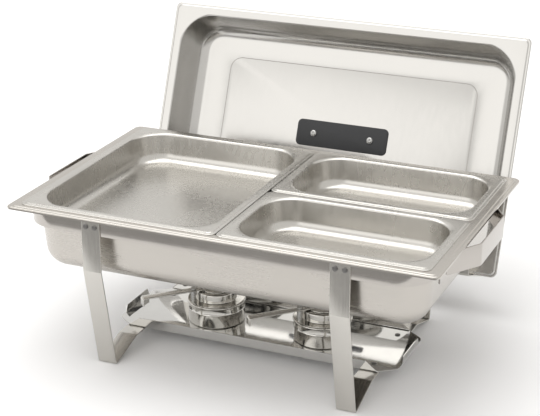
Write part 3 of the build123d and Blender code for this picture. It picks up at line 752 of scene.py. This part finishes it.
# ---- Lid -----------------------------------------------------------------------------------------
LID_FOOT = (WATER_RIM[1][1] - STAND_Y + LID_GAP, LID_FOOT_Z)  # its lower edge, back and up


def beside_lid(back, up):
    """Point in an upright plane, from the lid's lower edge: back through its depth and up its face."""
    return (
        LID_FOOT[0] + up * sin(LID_LEAN) + back * cos(LID_LEAN),
        LID_FOOT[1] + up * cos(LID_LEAN) - back * sin(LID_LEAN),
    )


def on_lid(depth):
    """Matrix of the plane at a depth in the lid: across, up its face, and out of its mouth."""
    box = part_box("lid_shell")
    back, up = beside_lid(depth, LID_HALF[1])
    lean_s, lean_c = sin(LID_LEAN), cos(LID_LEAN)
    return Matrix(
        (
            (1, 0, 0, (box[0][0] + box[1][0]) / 2),
            (0, lean_s, -lean_c, STAND_Y + back),
            (0, lean_c, lean_s, up),
            (0, 0, 0, 1),
        )
    )


def lid_shell():
    """Drawn lid with a flat flange and a pressed panel in its floor."""
    depth = LID_DEPTH - SHEET
    profile = pan_profile(
        LID_EDGE, LID_RIM, LID_STEP_AT, LID_STEP, depth, LID_SLOPE, LID_BEND, LID_BOTTOM_ROUND,
        LID_LIP, LID_RIM_CORNER, LID_CORNER,
    )
    rise = ((1.0, 0.0), (0.7, 0.12), (0.3, 0.88), (0.0, 1.0))
    floor = [
        (PANEL_HALF[0] + out * MM, PANEL_HALF[1] + out * MM, PANEL_CORNER + out * MM,
         -depth + up * PANEL_RAISE)
        for out, up in rise
    ]
    shell = drawn_pan("lid_shell_drawn", LID_HALF, profile, SHEET, floor)
    place(shell, on_lid(0))
    return fit(shell, "lid", ["lid_shell"], lid_steel)


def lid_fittings():
    """Black plate inside the lid and its two screws."""
    half_x, half_y = PLATE_HALF
    outline = rounded_loop([half_x], [half_y], [PLATE_CORNER])[0]
    slab = plate("lid_plate_moulded", outline, PLATE_THICK, PLATE_EDGE)
    place(slab, on_lid(LID_DEPTH - SHEET))
    fit(slab, "lid", ["lid_inner_plate"], black_plastic)
    face = on_lid(LID_DEPTH - SHEET - PLATE_THICK)
    heads = [
        screw_head("screw", *SCREW_HEAD, face @ Matrix.Translation((x, 0, 0)))
        for x in (-SCREW_SPACING / 2, SCREW_SPACING / 2)
    ]
    fit(joined("lid_screw_heads", heads), "lid", ["lid_screws"], screw_steel)


# ---- Burners -------------------------------------------------------------------------------------
def arc(centre, radius, start, stop, steps=10):
    """Points on a circle from one angle to another, in degrees."""
    angle = np.radians(np.linspace(start, stop, steps + 1))
    return np.column_stack([centre[0] + radius * np.cos(angle), centre[1] + radius * np.sin(angle)])


def burner(side):
    """One burner: cup, can, collar, and the snuffer that swings over it."""
    body = "burner_" + side
    low, high = (np.array(v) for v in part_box("burner_cup_" + side))
    foot = ((low[0] + high[0]) / 2, (low[1] + high[1]) / 2, low[2])
    bead, wall = CUP_BEAD, CUP_WALL
    radius, tall = (high[0] - low[0]) / 2 - bead, high[2] - low[2]
    cup = np.concatenate([
        [(0, 0.6 * MM), (radius * 0.82, 0.6 * MM), (radius * 0.84, 0)],
        arc((radius - 2 * MM, 2 * MM), 2 * MM, -90, 0),
        [(radius, tall * 0.60), (radius + 0.5 * MM, tall * 0.63), (radius, tall * 0.66)],
        arc((radius, tall - bead), bead, -80, 170, 14),
        [(radius - wall, tall - 2 * bead), (radius - wall, 2 * MM)],
        arc((radius - wall - 1.5 * MM, wall + 1.5 * MM), 1.5 * MM, 0, -90),
        [(0, wall)],
    ])
    piece = turned(f"burner_cup_{side}_spun", cup, foot, closed=False)
    fit(piece, body, ["burner_cup_" + side], burner_steel)

    low_c, high_c = (np.array(v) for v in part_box("fuel_can_" + side))
    can_r, can_h, sheet = (high_c[0] - low_c[0]) / 2, high_c[2] - low_c[2], CAN_WALL
    can = np.concatenate([
        [(0, 0)],
        arc((can_r - MM, MM), MM, -90, 0, 5),
        arc((can_r - sheet, can_h - sheet), sheet, 0, 180, 6),
        [(can_r - 2 * sheet, sheet + MM), (can_r - 2 * sheet - MM, sheet), (0, sheet)],
    ])
    piece = turned(f"fuel_can_{side}_spun", can, (foot[0], foot[1], low_c[2]), closed=False)
    fit(piece, body, ["fuel_can_" + side], burner_steel)

    low_k, high_k = (np.array(v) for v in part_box("burner_collar_" + side))
    rise = high_k[2] - low_k[2]
    neck, flame = radius - FLANGE_WIDTH - wall / 2, radius - FLAME_INSET
    foot_mid, top_mid = wall / 2, rise - wall / 2
    skin = bent_line(
        [(radius - 0.2 * MM, foot_mid), (neck, foot_mid), (neck, top_mid), (flame, top_mid)],
        [1.5 * MM, 2.0 * MM],
    )
    normal = line_normals(skin)
    collar = np.concatenate([skin + normal * wall / 2, (skin - normal * wall / 2)[::-1]])
    piece = turned(f"burner_collar_{side}_spun", collar, (foot[0], foot[1], low_k[2]))
    fit(piece, body, ["burner_collar_" + side], burner_steel)
    snuffer(side, foot)


def snuffer(side, foot):
    """Flat cap over the flame opening and the lever riveted to it, with its turned-down end."""
    body = "snuffer_" + side
    low, high = (np.array(v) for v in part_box("snuffer_cap_" + side))
    radius, thick = (high[0] - low[0]) / 2, high[2] - low[2]
    disc = np.concatenate([
        [(0, 0)], arc((radius - 0.3 * MM, 0.3 * MM), 0.3 * MM, -90, 0, 4),
        arc((radius - 0.9 * MM, thick - 0.9 * MM), 0.9 * MM, 0, 90, 6), [(0, thick)],
    ])
    piece = turned(f"snuffer_cap_{side}_pressed", disc, (foot[0], foot[1], low[2]), closed=False)
    fit(piece, body, ["snuffer_cap_" + side], burner_steel)

    way = Matrix.Rotation(LEVER_ANGLE, 4, "Z")
    stand_up = Matrix(((1, 0, 0, 0), (0, 0, -1, 0), (0, 1, 0, 0), (0, 0, 0, 1)))
    at = Matrix.Translation((foot[0], foot[1], high[2])) @ way @ stand_up
    middle = LEVER_THICK / 2
    path = [(-LEVER_TAIL, middle), (LEVER_REACH, middle), (LEVER_REACH, -LEVER_END)]
    name = f"snuffer_lever_{side}_bent"
    lever = bent_strip(name, path, [LEVER_BEND_R], LEVER_WIDTH, LEVER_THICK, at)
    fit(lever, body, ["snuffer_lever_" + side], burner_steel)


for side, sign in (("left", -1), ("right", 1)):
    leg_strip(side)
    carry_handle(side, sign)
    lid_rest(side)
    burner(side)
support_ring()
fuel_tray()
rivets()
water_pan()
food_pan("half_pan_drawn", "half_food_pan", "half_pan", HALF_CORNER)
food_pan("quarter_pan_front_drawn", "quarter_food_pan_front", "quarter_pan_front", QUARTER_CORNER)
food_pan("quarter_pan_rear_drawn", "quarter_food_pan_rear", "quarter_pan_rear", QUARTER_CORNER)
lid_shell()
lid_fittings()

# ---- CAD nodes that keep their shape -------------------------------------------------------------
for node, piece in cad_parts.items():
    material = burner_steel
    if "screw" in node or "rivet" in node or "stud" in node:
        material = screw_steel
    if node == "lid_grip":
        material = black_plastic
    if node == "grip_inserts":
        material = brass
    piece.data.materials.clear()
    piece.data.materials.append(material)

# ---- Floor, light and camera ---------------------------------------------------------------------
FLOOR_SIDE = 6.0  # how far the floor runs to each side and behind
FLOOR_FRONT = 0.44  # and in front of the stand's middle
ROOM_BRIGHT = 0.92
ROOM_LOW = 0.46  # what shows below the horizon, past the floor's front edge
HORIZON = 0.06  # the two blend over this much of the direction's height, up and down


def studio():
    """Pale floor like a broad table, in a bright room that is dimmer below its horizon."""
    front, back = STAND_Y - FLOOR_FRONT, FLOOR_SIDE
    grid = np.array([[(x, y, 0) for x in (-FLOOR_SIDE, FLOOR_SIDE)] for y in (front, back)])
    floor = grid_piece("studio_floor", grid, around=False, ends="none")
    material, _, _, shader, _ = new_material("pale_floor")
    shader.inputs["Base Color"].default_value = (0.93, 0.93, 0.935, 1)
    shader.inputs["Roughness"].default_value = 0.9
    shader.inputs["Specular IOR Level"].default_value = 0.1
    floor.data.materials.append(material)

    world = bpy.data.worlds.new("studio_world")
    bpy.context.scene.world = world
    world.use_nodes = True
    nodes, links = world.node_tree.nodes, world.node_tree.links
    direction = nodes.new("ShaderNodeTexCoord")
    split = nodes.new("ShaderNodeSeparateXYZ")
    links.new(direction.outputs["Generated"], split.inputs[0])
    level = nodes.new("ShaderNodeMapRange")
    level.interpolation_type = "SMOOTHSTEP"
    level.inputs["From Min"].default_value = -HORIZON
    level.inputs["From Max"].default_value = HORIZON
    level.inputs["To Min"].default_value = ROOM_LOW
    level.inputs["To Max"].default_value = ROOM_BRIGHT
    links.new(split.outputs["Z"], level.inputs["Value"])
    background = nodes["Background"]
    background.inputs["Color"].default_value = (1.0, 0.985, 0.96, 1)
    links.new(level.outputs["Result"], background.inputs["Strength"])


def soft_light(name, where, toward, size, watts, colour=(1, 1, 1)):
    """Square area light at where, facing toward."""
    lamp = bpy.data.lights.new(name, "AREA")
    lamp.size = size
    lamp.energy = watts
    lamp.color = colour
    light = bpy.data.objects.new(name, lamp)
    bpy.context.scene.collection.objects.link(light)
    light.location = where
    light.rotation_euler = (Vector(toward) - Vector(where)).to_track_quat("-Z", "Y").to_euler()


CAMERA_AZIMUTH = radians(23.546)
CAMERA_ELEVATION = radians(21.202)
CAMERA_ROLL = radians(-0.124)
CAMERA_OFFSET = (1.743 * MM, -22.8 * MM, 1934.347 * MM)  # right, up and back from the rims' middle
CAMERA_LENS = 102.46


def camera():
    """Camera that looks down on the front right corner."""
    back = Vector(
        (
            sin(CAMERA_AZIMUTH) * cos(CAMERA_ELEVATION),
            -cos(CAMERA_AZIMUTH) * cos(CAMERA_ELEVATION),
            sin(CAMERA_ELEVATION),
        )
    )
    right = Vector((cos(CAMERA_AZIMUTH), sin(CAMERA_AZIMUTH), 0))
    up = back.cross(right)
    turn = Matrix.Rotation(CAMERA_ROLL, 3, back)
    axes = Matrix((turn @ right, turn @ up, back)).transposed()
    data = bpy.data.cameras.new("camera")
    data.lens = CAMERA_LENS
    data.sensor_width = 36
    eye = bpy.data.objects.new("camera", data)
    bpy.context.scene.collection.objects.link(eye)
    eye.matrix_world = Matrix.Translation(
        Vector((STAND_X, STAND_Y, RIM_TOP)) + axes @ Vector(CAMERA_OFFSET)
    ) @ axes.to_4x4()
    bpy.context.scene.camera = eye


studio()
soft_light("overhead_light", (-0.5, 0.3, 2.4), (0, 0.1, 0), 2.4, 34)
soft_light("front_left_light", (-1.25, -2.75, 1.35), (0, 0.1, 0.25), 2.6, 14, (1, 0.99, 0.975))
bpy.context.scene.view_settings.view_transform = "Standard"
camera()
